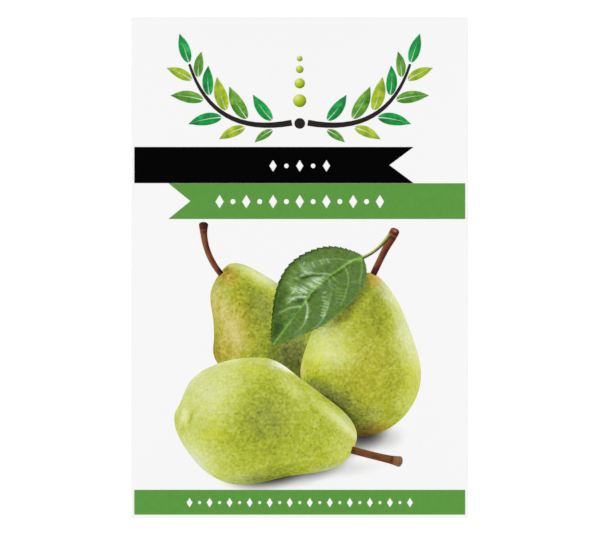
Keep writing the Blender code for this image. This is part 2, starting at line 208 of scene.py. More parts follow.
def smooth_value(values, share):
    """The value at a share of the way along evenly spaced ones, on a smooth curve through them."""
    last = len(values) - 1
    place = min(max(share, 0.0), 1.0) * last
    i = min(int(place), last - 1)
    f = place - i
    here, after = values[i], values[i + 1]
    before = values[i - 1] if i else 2 * here - after
    beyond = values[i + 2] if i + 2 <= last else 2 * after - here
    bend = 2 * before - 5 * here + 4 * after - beyond + f * (3 * (here - after) + beyond - before)
    return here + 0.5 * f * (after - before + f * bend)


def spine_point(spine, t):
    (x0, y0), (x1, y1), (x2, y2) = spine
    a, b, c = (1 - t) ** 2, 2 * t * (1 - t), t * t
    return a * x0 + b * x1 + c * x2, a * y0 + b * y1 + c * y2


def spine_direction(spine, t):
    (x0, y0), (x1, y1), (x2, y2) = spine
    x = (1 - t) * (x1 - x0) + t * (x2 - x1)
    y = (1 - t) * (y1 - y0) + t * (y2 - y1)
    size = math.hypot(x, y)
    return x / size, y / size


def spine_length(spine, steps=60):
    points = [spine_point(spine, i / steps) for i in range(steps + 1)]
    return sum(math.dist(points[i], points[i + 1]) for i in range(steps))


def beside(spine, t, offset):
    """The point that lies this far to the left of the spine."""
    x, y = spine_point(spine, t)
    dx, dy = spine_direction(spine, t)
    return x - dy * offset, y + dx * offset


def facing_of(points):
    """Which way each point of a grid faces, always up out of the picture."""
    across = np.gradient(points, axis=1)
    along = np.gradient(points, axis=0)
    facing = np.cross(across, along)
    size = np.linalg.norm(facing, axis=2, keepdims=True)
    facing = facing / np.maximum(size, 1e-12)
    facing[facing[..., 2] < 0] *= -1
    facing[0] = facing[1]
    facing[-1] = facing[-2]
    return facing


def flat_facing(points):
    facing = np.zeros_like(points)
    facing[..., 2] = 1.0
    return facing


def film(name, points, facing, grain, top, closed=False):
    """A level film of ink, which keeps the pictured form's place, facing and grain for its ink.

    points is a grid of places on the form: across, up and out of the picture."""
    shape = bmesh.new()
    layers = [shape.verts.layers.float_vector.new(n) for n in ("form_place", "form_facing", "form_grain")]
    grid = []
    for place_row, facing_row, grain_row in zip(points, facing, grain):
        row = []
        for place, normal, line in zip(place_row, facing_row, grain_row):
            vert = shape.verts.new((place[0] * MM, place[1] * MM, top * MM))
            for layer, value in zip(layers, (place, normal, line)):
                vert[layer] = value
            row.append(vert)
        grid.append(row)
    columns = len(grid[0])
    for here, after in zip(grid, grid[1:]):
        for j in range(columns if closed else columns - 1):
            k = (j + 1) % columns
            shape.faces.new((here[j], here[k], after[k], after[j]))
    bmesh.ops.remove_doubles(shape, verts=shape.verts, dist=WELD)
    rim = [edge for edge in shape.edges if edge.is_boundary]
    wall = bmesh.ops.extrude_edge_only(shape, edges=rim)["geom"]
    for part in wall:
        if isinstance(part, bmesh.types.BMVert):
            part.co.z = CARD_THICKNESS * MM
    below = [p for p in wall if isinstance(p, bmesh.types.BMEdge)]
    bmesh.ops.edgeloop_fill(shape, edges=below)
    bmesh.ops.recalc_face_normals(shape, faces=shape.faces)
    mesh = bpy.data.meshes.new(name)
    shape.to_mesh(mesh)
    shape.free()
    made = bpy.data.objects.new(name, mesh)
    bpy.context.scene.collection.objects.link(made)
    return made


def pear_film(name, pear, top):
    """A pictured pear: as deep as it is wide, and rounded off at both ends."""
    spine, nick = pear["spine"], pear.get("nick", NO_NICK)
    half = spine_length(spine) / 2
    points = np.zeros((PEAR_ROWS + 1, PEAR_COLUMNS + 1, 3))
    for i in range(PEAR_ROWS + 1):
        turn = math.pi * i / PEAR_ROWS
        t = (1 - math.cos(turn)) / 2
        reach = half * math.sin(turn)
        nicked = 1 - nick[2] * math.exp(-(((t - nick[0]) / nick[1]) ** 2))
        left = reach * smooth_value(pear["left"], t) * nicked
        right = reach * smooth_value(pear["right"], t)
        for j in range(PEAR_COLUMNS + 1):
            around = math.pi * j / PEAR_COLUMNS
            out = math.cos(around)
            x, y = beside(spine, t, out * (left if out > 0 else right))
            points[i, j] = (x, y, (left + right) / 2 * math.sin(around))
    return film(name, points, facing_of(points), points, top)


def stalk_film(name, stalk, top):
    """A pictured stalk: a round twig with a softly rounded end, its grain measured from there."""
    spine, widths = stalk["spine"], stalk["half_widths"]
    length = spine_length(spine)
    places = [(i / STALK_ROWS, 0.0, 1.0) for i in range(STALK_ROWS + 1)]
    for i in range(1, STALK_END_ROWS + 1):
        turn = math.pi / 2 * i / STALK_END_ROWS
        places.append((1.0, widths[-1] * STALK_END_BULGE * math.sin(turn), math.cos(turn)))
    points = np.zeros((len(places), STALK_COLUMNS + 1, 3))
    grain = np.zeros_like(points)
    for i, (t, ahead, share) in enumerate(places):
        dx, dy = spine_direction(spine, t)
        half = smooth_value(widths, t)
        for j in range(STALK_COLUMNS + 1):
            around = math.pi * j / STALK_COLUMNS
            x, y = beside(spine, t, half * share * math.cos(around))
            points[i, j] = (x + dx * ahead, y + dy * ahead, half * share * math.sin(around))
            grain[i, j] = (length * (1 - t) - ahead, half * around, 0.0)
    facing = facing_of(points)
    facing[-STALK_END_ROWS:] = facing[-STALK_END_ROWS - 1]
    return film(name, points, facing, grain, top)


def through(points):
    """A smooth line through the points, in a few steps from each to the next."""
    corners = np.array(points)
    last = (len(points) - 1) * VEIN_STEPS
    return np.array([smooth_value(corners, k / last) for k in range(last + 1)])


def leaf_rows():
    """Place along the midrib and reach to either side of it, row by row, with the teeth."""
    half = spine_length(LEAF_SPINE) / 2
    corners = [(0.0, 0.0, 0.0)]
    for i in range(1, LEAF_TEETH):
        turn = math.pi * i / LEAF_TEETH
        t = (1 - math.cos(turn)) / 2
        reaches = [half * math.sin(turn) * smooth_value(side, t) for side in (LEAF_LEFT, LEAF_RIGHT)]
        bitten = [r - min(LEAF_TOOTH_DEPTH, r * LEAF_TOOTH_SHARE) for r in reaches]
        corners.append((max(t - LEAF_TOOTH_LEAN, t / 2), *reaches))
        corners.append((t, *bitten))
    corners.append((1.0, 0.0, 0.0))
    rows = [corners[0]]
    for here, after in zip(corners, corners[1:]):
        steps = LEAF_ROWS_PER_TOOTH if after[0] - here[0] > LEAF_TOOTH_LEAN * 1.5 else 1
        for k in range(1, steps + 1):
            rows.append(tuple(a + (b - a) * k / steps for a, b in zip(here, after)))
    return rows


def line_light(points, widths, lights, x, y):
    """What a soft line adds to each point of a grid: its light, fading across its width there."""
    nearest = np.full(x.shape, np.inf)
    along = np.zeros(x.shape)
    for i, ((ax, ay), (bx, by)) in enumerate(zip(points, points[1:])):
        dx, dy = bx - ax, by - ay
        share = np.clip(((x - ax) * dx + (y - ay) * dy) / (dx * dx + dy * dy), 0, 1)
        away = np.hypot(x - ax - share * dx, y - ay - share * dy)
        along = np.where(away < nearest, (i + share) / (len(points) - 1), along)
        nearest = np.minimum(nearest, away)
    steps = np.linspace(0, 1, len(widths))
    reach = LINE_SOFTNESS * np.interp(along, steps, widths)
    return np.interp(along, steps, lights) * np.exp(-((nearest / reach) ** 2))


def rung_line(centre, length, slant):
    turn = math.radians(slant)
    reach = length / 2 * np.array([math.cos(turn), math.sin(turn)])
    return [np.array(centre) - reach, np.array(centre) + reach]


def leaf_film(name, top):
    """The pictured leaf, with the light of its veins, its midrib's share and its margin."""
    rows = leaf_rows()
    points = np.zeros((len(rows), LEAF_COLUMNS + 1, 3))
    margin = np.zeros((len(rows), LEAF_COLUMNS + 1))
    for i, (t, left, right) in enumerate(rows):
        for j in range(LEAF_COLUMNS + 1):
            share = 1 - 2 * j / LEAF_COLUMNS
            offset = share * (left if share > 0 else right)
            points[i, j, :2] = beside(LEAF_SPINE, t, offset)
            margin[i, j] = share
    x, y = points[..., 0], points[..., 1]
    midrib = through(MIDRIB["points"])
    light = line_light(midrib, MIDRIB["widths"], MIDRIB["lights"], x, y)
    for line, widths, lights in LEAF_LINES:
        light += line_light(through(line), widths, lights, x, y)
    for rungs, strength in ((LEAF_RUNGS, RUNG_LIGHT), (FAINT_RUNGS, FAINT_RUNG_LIGHT)):
        for rung in rungs:
            light += line_light(rung_line(*rung), (RUNG_WIDTH,) * 2, (strength,) * 2, x, y)
    yellow = line_light(midrib, MIDRIB["widths"], [1.0] * len(MIDRIB["widths"]), x, y)
    grain = np.stack([light, yellow, margin], axis=2)
    return film(name, points, flat_facing(points), grain, top)


def joined(name, pieces):
    """Several pieces as one."""
    bpy.ops.object.select_all(action="DESELECT")
    for piece in pieces:
        piece.select_set(True)
    bpy.context.view_layer.objects.active = pieces[0]
    if len(pieces) > 1:
        bpy.ops.object.join()
    made = bpy.context.view_layer.objects.active
    made.name = name
    made.data.name = name
    return made


def crest_leaf(name, start, heading, size, curl, hand):
    """A crest leaf in two halves, with its midrib left open between them."""
    x, y = start
    dx, dy = math.cos(heading), math.sin(heading)
    middle = (x + dx * size / 2 - dy * size * curl, y + dy * size / 2 + dx * size * curl)
    spine = (start, middle, (x + dx * size, y + dy * size))
    half = spine_length(spine) / 2
    halves = []
    for side in (1, -1):
        points = np.zeros((CREST_LEAF_ROWS - 1, CREST_LEAF_COLUMNS, 3))
        grain = np.zeros_like(points)
        for i in range(1, CREST_LEAF_ROWS):
            turn = math.pi * i / CREST_LEAF_ROWS
            t = (1 - math.cos(turn)) / 2
            reach = half * math.sin(turn) * smooth_value(BOUGH_LEAF_FULLNESS, t)
            inner = min(CREST_MIDRIB * (1 - t), reach / 2)
            for j in range(CREST_LEAF_COLUMNS):
                share = j / (CREST_LEAF_COLUMNS - 1)
                offset = inner + (reach - inner) * share
                px, py = beside(spine, t, side * offset)
                points[i - 1, j] = (hand * px, py, 0.0)
                grain[i - 1, j] = (t, share * side, size)
        halves.append(film(name, points, flat_facing(points), grain, TOP_FILM))
    return joined(name, halves)


def berry_film(name, centre, radius):
    """A pictured berry: half a ball."""
    points = np.zeros((BERRY_RINGS + 1, BERRY_SIDES, 3))
    for i in range(BERRY_RINGS + 1):
        tilt = math.pi / 2 * i / BERRY_RINGS
        for j in range(BERRY_SIDES):
            turn = 2 * math.pi * j / BERRY_SIDES
            out = radius * math.sin(tilt)
            x = centre[0] + out * math.cos(turn)
            points[i, j] = (x, centre[1] + out * math.sin(turn), radius * math.cos(tilt))
    facing = (points - np.array((*centre, 0.0))) / radius
    return film(name, points, facing, points, TOP_FILM, closed=True)


def die_cut_card():
    """The sheet: a flat blank with rounded corners, its rims softened by the cutting die."""
    bpy.ops.object.select_all(action="DESELECT")
    bpy.ops.mesh.primitive_cube_add(size=1.0, location=(0.0, 0.0, CARD_THICKNESS / 2 * MM))
    card = bpy.context.active_object
    card.name = "card_sheet"
    card.data.name = "card_sheet"
    card.scale = (CARD_WIDTH * MM, CARD_HEIGHT * MM, CARD_THICKNESS * MM)
    bpy.ops.object.transform_apply(location=True, rotation=True, scale=True)
    for radius, segments, wanted in (
        (CARD_CORNER_RADIUS, CARD_CORNER_SEGMENTS, is_upright),
        (DIE_CUT_SOFTENING, DIE_CUT_SEGMENTS, is_rim),
    ):
        bpy.ops.object.mode_set(mode="EDIT")
        bpy.ops.mesh.select_mode(type="EDGE")
        bpy.ops.mesh.select_all(action="DESELECT")
        shape = bmesh.from_edit_mesh(card.data)
        for edge in shape.edges:
            edge.select_set(wanted(edge))
        bmesh.update_edit_mesh(card.data)
        bpy.ops.mesh.bevel(offset=radius * MM, segments=segments, affect="EDGES")
        bpy.ops.object.mode_set(mode="OBJECT")
    return card


def is_upright(edge):
    start, end = edge.verts
    return abs(start.co.z - end.co.z) > CARD_THICKNESS / 2 * MM


def is_rim(edge):
    levels = [abs(face.normal.z) for face in edge.link_faces]
    return max(levels) > 0.9 and min(levels) < 0.1


# Materials.

# Ink colours are read against the bare card, which shows as nearly white, and the satin surface
# adds a faint glow of its own over every ink.
PAPER_SHARE = 0.875
SURFACE_GLOW = 0.019
INK_SHINE = 0.25
INK_ROUGHNESS = 0.42
PLASTIC_IOR = 1.5


def linear(hex_colour):
    """A colour from its sRGB hex value, as Blender counts light."""
    parts = [int(hex_colour[i : i + 2], 16) / 255 for i in (0, 2, 4)]
    light = [c / 12.92 if c <= 0.04045 else ((c + 0.055) / 1.055) ** 2.4 for c in parts]
    return (*light, 1.0)


def printed(hex_colour):
    """The ink that shows as this colour beside the bare card, once the surface glows over it."""
    light = linear(hex_colour)[:3]
    return (*[max(PAPER_SHARE * c - SURFACE_GLOW, 0.0) for c in light], 1.0)


def add_node(material, kind, inputs=None, **settings):
    """Adds one node, with its settings, and gives each named input its value or its link."""
    made = material.node_tree.nodes.new(kind)
    for name, value in settings.items():
        setattr(made, name, value)
    for key, value in (inputs or {}).items():
        if isinstance(value, bpy.types.NodeSocket):
            material.node_tree.links.new(value, made.inputs[key])
        else:
            made.inputs[key].default_value = value
    return made


def new_finish(name):
    material = bpy.data.materials.new(name)
    material.use_nodes = True
    return material, material.node_tree.nodes["Principled BSDF"]


def wear_finish(piece, material):
    """Puts the material on every slot of the piece."""
    if not piece.data.materials:
        piece.data.materials.append(material)
    for i in range(len(piece.data.materials)):
        piece.data.materials[i] = material


def card_place(material):
    """Where a point is on the label, in millimetres."""
    place = add_node(material, "ShaderNodeTexCoord").outputs["Object"]
    return add_node(
        material, "ShaderNodeVectorMath", {0: place, "Scale": 1 / MM}, operation="SCALE"
    ).outputs["Vector"]


def form_light(material, tilt):
    """The light on the pictured form: more the nearer it faces to the tilt's own direction."""
    facing = add_node(material, "ShaderNodeAttribute", attribute_name="form_facing")
    return add_node(
        material,
        "ShaderNodeVectorMath",
        {0: facing.outputs["Vector"], 1: tilt},
        operation="DOT_PRODUCT",
    ).outputs["Value"]


def wandering(material, place, pattern, span):
    """A value that wanders from place to place: noise of this pattern, brought to this span."""
    cloud = add_node(material, "ShaderNodeTexNoise", {"Vector": place, **pattern}).outputs["Fac"]
    return add_node(material, "ShaderNodeMapRange", {"Value": cloud, **span}).outputs["Result"]


FLAT_REACH = 1000.0


def soft_oval(material, place, centre, radii, turn, amount):
    """A soft-edged oval: the amount at its middle, falling smoothly to nothing at its radii."""
    local = add_node(
        material,
        "ShaderNodeMapping",
        {
            "Vector": place,
            "Location": (*centre, 0.0),
            "Rotation": (0.0, 0.0, math.radians(turn)),
            "Scale": (*radii, FLAT_REACH),
        },
        vector_type="TEXTURE",
    ).outputs["Vector"]
    away = add_node(material, "ShaderNodeVectorMath", {0: local}, operation="LENGTH")
    fade = add_node(
        material,
        "ShaderNodeMapRange",
        {"Value": away.outputs["Value"], "To Min": amount, "To Max": 0.0},
        interpolation_type="SMOOTHSTEP",
    )
    return fade.outputs["Result"]


def total(material, values):
    """The sum of some values."""
    running = values[0]
    for value in values[1:]:
        running = add_node(
            material, "ShaderNodeMath", {0: running, 1: value}, operation="ADD"
        ).outputs["Value"]
    return running


def ovals_total(material, place, ovals):
    return total(material, [soft_oval(material, place, *oval) for oval in ovals])


def tone_ramp(material, tone, stops, colour_of=printed):
    """The printed colour for a tone, where 0 is black and 1 the bare card."""
    node = add_node(material, "ShaderNodeValToRGB", {"Fac": tone})
    ramp = node.color_ramp
    ramp.elements[0].position, ramp.elements[0].color = stops[0][0], colour_of(stops[0][1])
    ramp.elements[1].position, ramp.elements[1].color = stops[-1][0], colour_of(stops[-1][1])
    for position, colour in stops[1:-1]:
        ramp.elements.new(position).color = colour_of(colour)
    return node.outputs["Color"]


def profile(material, value, reach, stops):
    """A tone that follows a value along its reach, by a row of shares of it and their tones."""
    share = add_node(material, "ShaderNodeMapRange", {"Value": value, "From Max": reach})
    node = add_node(material, "ShaderNodeValToRGB", {"Fac": share.outputs["Result"]})
    ramp = node.color_ramp
    ramp.interpolation = "EASE"
    while len(ramp.elements) < len(stops):
        ramp.elements.new(0.5)
    for element, (position, tone) in zip(ramp.elements, stops):
        element.position = position
        element.color = (0.5 + tone, 0.5 + tone, 0.5 + tone, 1.0)
    return add_node(
        material, "ShaderNodeMath", {0: node.outputs["Color"], 1: 0.5}, operation="SUBTRACT"
    ).outputs["Value"]


def layered_ink(material, tone, ground, layers):
    """The printed colour for a tone: the ground's ramp, with others laid over it by their shares.

    A Mix node takes its colours at inputs 6 and 7 and gives one at output 2."""
    colour = tone_ramp(material, tone, ground)
    for share, stops in layers:
        over = tone_ramp(material, tone, stops)
        colour = add_node(
            material, "ShaderNodeMix", {0: share, 6: colour, 7: over}, data_type="RGBA"
        ).outputs[2]
    return colour


VARNISH_PITCH = 1.4
VARNISH_HEIGHT = 0.004
VARNISH_RELIEF = 0.35
GLOSS_SPREAD = 0.05


def varnish(material, shader, place, colour, roughness=INK_ROUGHNESS, shine=INK_SHINE):
    """A colour under the satin surface of dried ink or plastic, whose gloss wanders and whose
    face has a faint orange peel.

    The real peel is about 0.3 mm across, and is drawn coarser so that it shows."""
    material.node_tree.links.new(colour, shader.inputs["Base Color"])
    shader.inputs["IOR"].default_value = PLASTIC_IOR
    shader.inputs["Specular IOR Level"].default_value = shine
    cloud = add_node(
        material, "ShaderNodeTexNoise", {"Vector": place, "Scale": 1 / VARNISH_PITCH, "Detail": 3.0}
    ).outputs["Fac"]
    gloss = add_node(
        material,
        "ShaderNodeMapRange",
        {"Value": cloud, "To Min": roughness - GLOSS_SPREAD, "To Max": roughness + GLOSS_SPREAD},
    )
    material.node_tree.links.new(gloss.outputs["Result"], shader.inputs["Roughness"])
    bump = add_node(
        material,
        "ShaderNodeBump",
        {"Height": cloud, "Strength": VARNISH_RELIEF, "Distance": VARNISH_HEIGHT * MM},
    )
    material.node_tree.links.new(bump.outputs["Normal"], shader.inputs["Normal"])


# The shadows that the pictured pears throw are printed on the card, as soft ovals: the centre,
# the radii, the turn in degrees and how dark it is.
PRINTED_SHADOWS = (
    ((-11.0, -62.0), (14.0, 5.5), 5, 0.95),
    ((4.0, -57.0), (18.0, 8.0), 22, 0.8),
    ((9.0, -60.5), (19.0, 3.5), 5, 0.12),
    ((19.0, -48.5), (10.0, 8.0), 35, 0.8),
    ((24.0, -51.0), (9.0, 5.0), 5, 0.2),
)
CARD_GREYS = (
    (0.0, "060606"), (0.1, "1A1A1A"), (0.2, "333333"), (0.3, "4D4D4D"), (0.4, "666665"),
    (0.5, "80807E"), (0.6, "999997"), (0.7, "B3B3B1"), (0.8, "CCCCCA"), (0.9, "E6E6E5"),
    (1.0, "FFFFFF"),
)


def satin_pvc_card():
    """White rigid PVC sheet, calendered: a bright even white with a satin surface.

    The soft grey shadows of the picture are printed straight on it."""
    material, shader = new_finish("satin_pvc_card")
    place = card_place(material)
    dark = ovals_total(material, place, PRINTED_SHADOWS)
    fleck = wandering(
        material, place, {"Scale": 1.1, "Detail": 2.0}, {"To Min": 0.972, "To Max": 0.964}
    )
    tone = add_node(
        material, "ShaderNodeMath", {0: fleck, 1: dark}, operation="SUBTRACT"
    ).outputs["Value"]
    colour = tone_ramp(material, tone, CARD_GREYS)
    varnish(material, shader, place, colour, shine=0.5)
    return material


def solid_offset_ink(name, light_hex, dark_hex, roughness=INK_ROUGHNESS, shine=INK_SHINE):
    """A solid of offset ink under varnish: one colour, with the faint cloudiness of a full solid."""
    material, shader = new_finish(name)
    place = card_place(material)
    cloud = add_node(
        material, "ShaderNodeTexNoise", {"Vector": place, "Scale": 0.8, "Detail": 4.0}
    ).outputs["Fac"]
    colour = tone_ramp(material, cloud, ((0.3, dark_hex), (0.7, light_hex)))
    varnish(material, shader, place, colour, roughness, shine)
    return material


# Printed colours of pear skin by tone: the plain skin, its russet flush, its riper yellow and
# the paler, greyer skin that mirrors the white surroundings.
# A look holds a pear's own lights and tints: its tone, the lean of its light, the light of its
# rim, and soft ovals, each with its centre, its radii, its turn in degrees and its amount.
SKIN = (
    (0.25, "4A5420"), (0.42, "6A7332"), (0.56, "8E9A38"), (0.68, "AEB940"), (0.8, "CAD474"),
    (0.92, "E8ECB6"), (1.0, "F6F7E4"),
)
FLUSH = (
    (0.25, "5A4818"), (0.48, "8D7934"), (0.64, "BFA03E"), (0.8, "DBC988"), (0.95, "F2EACC"),
)
RIPE = ((0.3, "565A20"), (0.55, "90942C"), (0.72, "C0C634"), (0.86, "DBE06A"), (1.0, "F4F5C8"))
PALE = ((0.25, "464B2C"), (0.48, "7A8246"), (0.68, "B2BA70"), (0.84, "DADFB2"), (1.0, "FAFAF2"))

BACK_PEAR_LOOK = {
    "base": 0.58,
    "tilt": (-0.06, 0.05, 0.05),
    "rim": 0.04,
    "lights": (
        ((-24.0, -3.0), (7.0, 4.0), 0, -0.1),
        ((-24.0, -8.0), (5.0, 10.0), 0, 0.06),
        ((-20.0, -18.5), (5.5, 13.0), 20, 0.11),
        ((-12.0, -2.5), (15.0, 4.5), -32, 0.25),
        ((-13.0, -13.0), (7.0, 14.0), 20, -0.1),
        ((-4.0, -26.0), (11.0, 9.0), -25, -0.2),
        ((0.0, -32.0), (4.0, 8.0), 25, -0.15),
        ((-27.0, -23.0), (3.5, 10.0), 10, -0.2),
        ((-14.0, -29.0), (16.0, 2.0), 0, -0.1),
        ((-22.0, -0.5), (1.5, 1.0), 35, -0.2),
    ),
    "flush": (
        ((-21.5, -2.5), (5.5, 4.5), 0, 0.95),
        ((-20.5, -19.0), (10.0, 16.0), 8, 0.75),
        ((-25.0, -26.0), (4.0, 5.0), 0, 0.5),
        ((-26.0, -10.0), (4.5, 9.0), 0, 0.5),
    ),
    "edge_lights": (
        ((-27.5, -8.0), (4.0, 8.0), 0, 0.1),
        ((-3.0, -31.0), (8.0, 12.0), 0, -0.2),
    ),
    "ripe": (((-17.5, -9.5), (5.0, 6.0), 0, 0.5),),
    "pale": (
        ((-8.5, -3.0), (7.0, 3.0), -32, 1.0),
        ((-18.0, 1.0), (4.5, 2.0), 0, 0.6),
        ((-25.0, -6.0), (3.0, 5.0), 0, 0.45),
        ((-10.5, -12.0), (5.0, 9.0), 20, 0.35),
        ((-2.0, -25.0), (8.0, 7.5), 0, 0.9),
    ),
    "mottle": 1.1,
}
RIGHT_PEAR_LOOK = {
    "base": 0.66,
    "tilt": (0.0, 0.03, 0.0),
    "rim": 0.03,
    "lights": (
        ((8.5, -25.5), (13.0, 9.0), 0, 0.2),
        ((10.0, -19.5), (9.0, 3.5), 23, 0.1),
        ((34.0, -24.0), (8.0, 22.0), 20, 0.2),
        ((27.5, -7.0), (4.5, 13.0), 20, 0.16),
        ((15.0, -9.5), (17.0, 5.0), 58, -0.28),
        ((7.0, -39.5), (21.0, 7.5), -22, -0.26),
        ((15.5, -48.0), (11.0, 6.0), -38, -0.22),
        ((23.5, -15.0), (8.0, 9.0), -20, -0.1),
        ((20.0, -51.0), (10.0, 6.0), 25, -0.28),
        ((33.0, -40.0), (6.0, 11.0), -5, 0.12),
        ((1.0, -31.5), (2.0, 5.0), 0, 0.1),
        ((21.5, -8.5), (3.5, 6.0), 20, -0.09),
        ((12.0, -42.5), (9.5, 1.5), -41, -0.2),
    ),
    "flush": (
        ((22.0, -2.5), (4.0, 4.5), 0, 0.9),
        ((21.0, -50.5), (12.0, 6.0), 8, 1.0),
        ((0.5, -30.5), (2.5, 7.0), 0, 0.3),
        ((24.5, -5.0), (3.0, 6.0), 20, 0.3),
        ((21.0, -30.0), (20.0, 26.0), 0, 0.2),
    ),
    "pale": (
        ((25.0, -6.5), (3.5, 8.0), 24, 0.9),
        ((31.0, -19.5), (3.0, 9.0), 20, 0.5),
        ((8.0, -18.0), (7.0, 3.5), 25, 0.7),
        ((9.5, -38.5), (13.0, 4.0), -25, 0.5),
        ((22.0, -44.0), (4.0, 4.0), 0, 0.4),
    ),
    "edge_lights": (
        ((33.0, -12.0), (8.0, 16.0), 20, 0.1),
        ((16.0, -50.0), (14.0, 6.0), 0, -0.1),
    ),
    "ripe": (
        ((5.0, -28.0), (9.0, 9.0), 0, 0.8),
        ((33.5, -33.0), (5.5, 10.0), 0, 0.7),
        ((15.0, -24.0), (6.0, 5.0), 0, 0.4),
        ((22.0, -34.0), (13.0, 13.0), 0, 0.4),
    ),
    "mottle": 1.0,
}
FRONT_PEAR_LOOK = {
    "base": 0.79,
    "tilt": (-0.06, 0.03, -0.1),
    "rim": -0.04,
    "lights": (
        ((-24.0, -39.0), (15.0, 12.0), 50, 0.1),
        ((-34.5, -44.5), (2.0, 4.0), -12, 0.1),
        ((-32.5, -44.5), (1.0, 5.0), -6, -0.08),
        ((-35.0, -48.5), (2.0, 2.5), 0, -0.06),
        ((-37.5, -45.5), (1.5, 4.0), -8, -0.05),
        ((-11.5, -45.0), (15.0, 18.0), 0, -0.09),
        ((-2.5, -36.0), (10.5, 3.0), -48, 0.09),
        ((12.5, -46.5), (16.0, 3.0), -40, 0.16),
        ((13.0, -53.5), (7.0, 9.0), -32, 0.1),
        ((-29.5, -57.0), (8.0, 15.0), 32, 0.08),
        ((-9.0, -64.0), (18.0, 5.5), 14, -0.22),
        ((19.0, -57.5), (3.0, 3.0), 25, -0.4),
    ),
    "edge_lights": (
        ((-20.0, -28.0), (6.0, 2.5), 4, 0.16),
        ((-5.0, -30.0), (6.0, 1.5), -27, 0.6),
        ((8.0, -40.5), (7.0, 3.5), -40, -0.18),
        ((-31.0, -33.0), (5.0, 5.0), 0, 0.1),
    ),
    "flush": (
        ((17.0, -51.5), (4.0, 5.5), 0, 0.35),
        ((16.5, -48.0), (3.0, 2.5), 0, 0.4),
    ),
    "pale": (
        ((-31.5, -57.5), (3.5, 11.0), 40, 0.9),
        ((-26.5, -29.0), (5.0, 3.0), 0, 0.9),
        ((-29.0, -36.5), (7.0, 8.0), 0, 0.35),
        ((-7.5, -29.0), (5.0, 2.5), -15, 0.8),
        ((-9.5, -44.5), (13.0, 10.0), 0, 0.3),
        ((-17.0, -63.5), (12.0, 3.0), 10, 0.7),
        ((9.0, -60.5), (10.0, 3.0), 8, 0.7),
        ((14.0, -45.5), (3.5, 4.0), 0, 0.4),
    ),
    "ripe": (
        ((-25.0, -50.0), (7.0, 6.0), 20, 0.7),
        ((-13.5, -31.0), (8.0, 3.5), -12, 0.7),
        ((8.0, -57.0), (9.0, 5.0), 10, 0.35),
    ),
    "mottle": 1.0,
}

FINE_MOTTLE_PITCH = 0.95
COARSE_MOTTLE_PITCH = 2.8
HUE_MOTTLE_PITCH = 2.2
FRECKLE_PITCH = 1.25
PORE_RADII = (0.1, 0.4)
PORE_DARKNESS = 0.13
RIM_SHARPNESS = 3.0
# Between these tones the mottling fades, down to this share of it.
MOTTLE_FADE = (0.62, 0.86)
MOTTLE_LEFT_IN_LIGHT = 0.42


def pear_skin_print(name, look):
    """A pear's skin, as a four-colour print of a photograph shows it.

    Its light and shade follow the pictured form, with the soft lights and shades of its
    surroundings. The skin is mottled and freckled with small dark pores, which stay on the form
    and so crowd together towards its edge. Real pores are about 0.3 mm here and are drawn a
    little larger."""
    material, shader = new_finish(name)
    place = card_place(material)
    form = add_node(material, "ShaderNodeAttribute", attribute_name="form_place").outputs["Vector"]
    lit = form_light(material, look["tilt"])
    up = form_light(material, (0.0, 0.0, 1.0))
    away = add_node(material, "ShaderNodeMath", {0: 1.0, 1: up}, operation="SUBTRACT")
    edge = add_node(
        material,
        "ShaderNodeMath",
        {0: away.outputs["Value"], 1: RIM_SHARPNESS},
        operation="POWER",
    )
    edge_light = total(material, [ovals_total(material, place, look["edge_lights"]), look["rim"]])
    rim = add_node(
        material,
        "ShaderNodeMath",
        {0: edge.outputs["Value"], 1: edge_light, 2: look["base"]},
        operation="MULTIPLY_ADD",
    ).outputs["Value"]
    soft = ovals_total(material, place, look["lights"])
    tone = total(material, [lit, rim, soft])

    fine = wandering(
        material,
        form,
        {"Scale": 1 / FINE_MOTTLE_PITCH, "Detail": 1.0, "Roughness": 0.5},
        {"To Min": -0.14, "To Max": 0.15},
    )
    coarse = wandering(
        material,
        form,
        {"Scale": 1 / COARSE_MOTTLE_PITCH, "Detail": 2.0},
        {"To Min": -0.10, "To Max": 0.11},
    )
    pores = add_node(
        material, "ShaderNodeTexVoronoi", {"Vector": form, "Scale": 1 / FRECKLE_PITCH}
    )
    dots = add_node(
        material,
        "ShaderNodeMapRange",
        {
            "Value": pores.outputs["Distance"],
            "From Min": PORE_RADII[0],
            "From Max": PORE_RADII[1],
            "To Min": -PORE_DARKNESS,
            "To Max": 0.0,
        },
        interpolation_type="SMOOTHSTEP",
    ).outputs["Result"]
    chosen = add_node(
        material, "ShaderNodeSeparateColor", {0: pores.outputs["Color"]}
    ).outputs["Red"]
    freckles = add_node(
        material, "ShaderNodeMath", {0: dots, 1: chosen}, operation="MULTIPLY"
    ).outputs["Value"]
    mottle = total(material, [fine, coarse, freckles])
    strength = add_node(
        material,
        "ShaderNodeMapRange",
        {
            "Value": tone,
            "From Min": MOTTLE_FADE[0],
            "From Max": MOTTLE_FADE[1],
            "To Min": look["mottle"],
            "To Max": look["mottle"] * MOTTLE_LEFT_IN_LIGHT,
        },
    ).outputs["Result"]
    tone = add_node(
        material, "ShaderNodeMath", {0: mottle, 1: strength, 2: tone}, operation="MULTIPLY_ADD"
    ).outputs["Value"]

    tint = wandering(
        material,
        form,
        {"Scale": 1 / HUE_MOTTLE_PITCH, "Detail": 3.0, "Roughness": 0.6},
        {"From Min": 0.3, "From Max": 0.7, "To Min": -0.45, "To Max": 0.55},
    )
    ripe = total(material, [ovals_total(material, place, look["ripe"]), tint])
    pale, flush = (ovals_total(material, place, look[key]) for key in ("pale", "flush"))
    layers = ((ripe, RIPE), (pale, PALE), (flush, FLUSH))
    colour = layered_ink(material, tone, SKIN, layers)
    varnish(material, shader, place, colour, roughness=0.40)
    return material


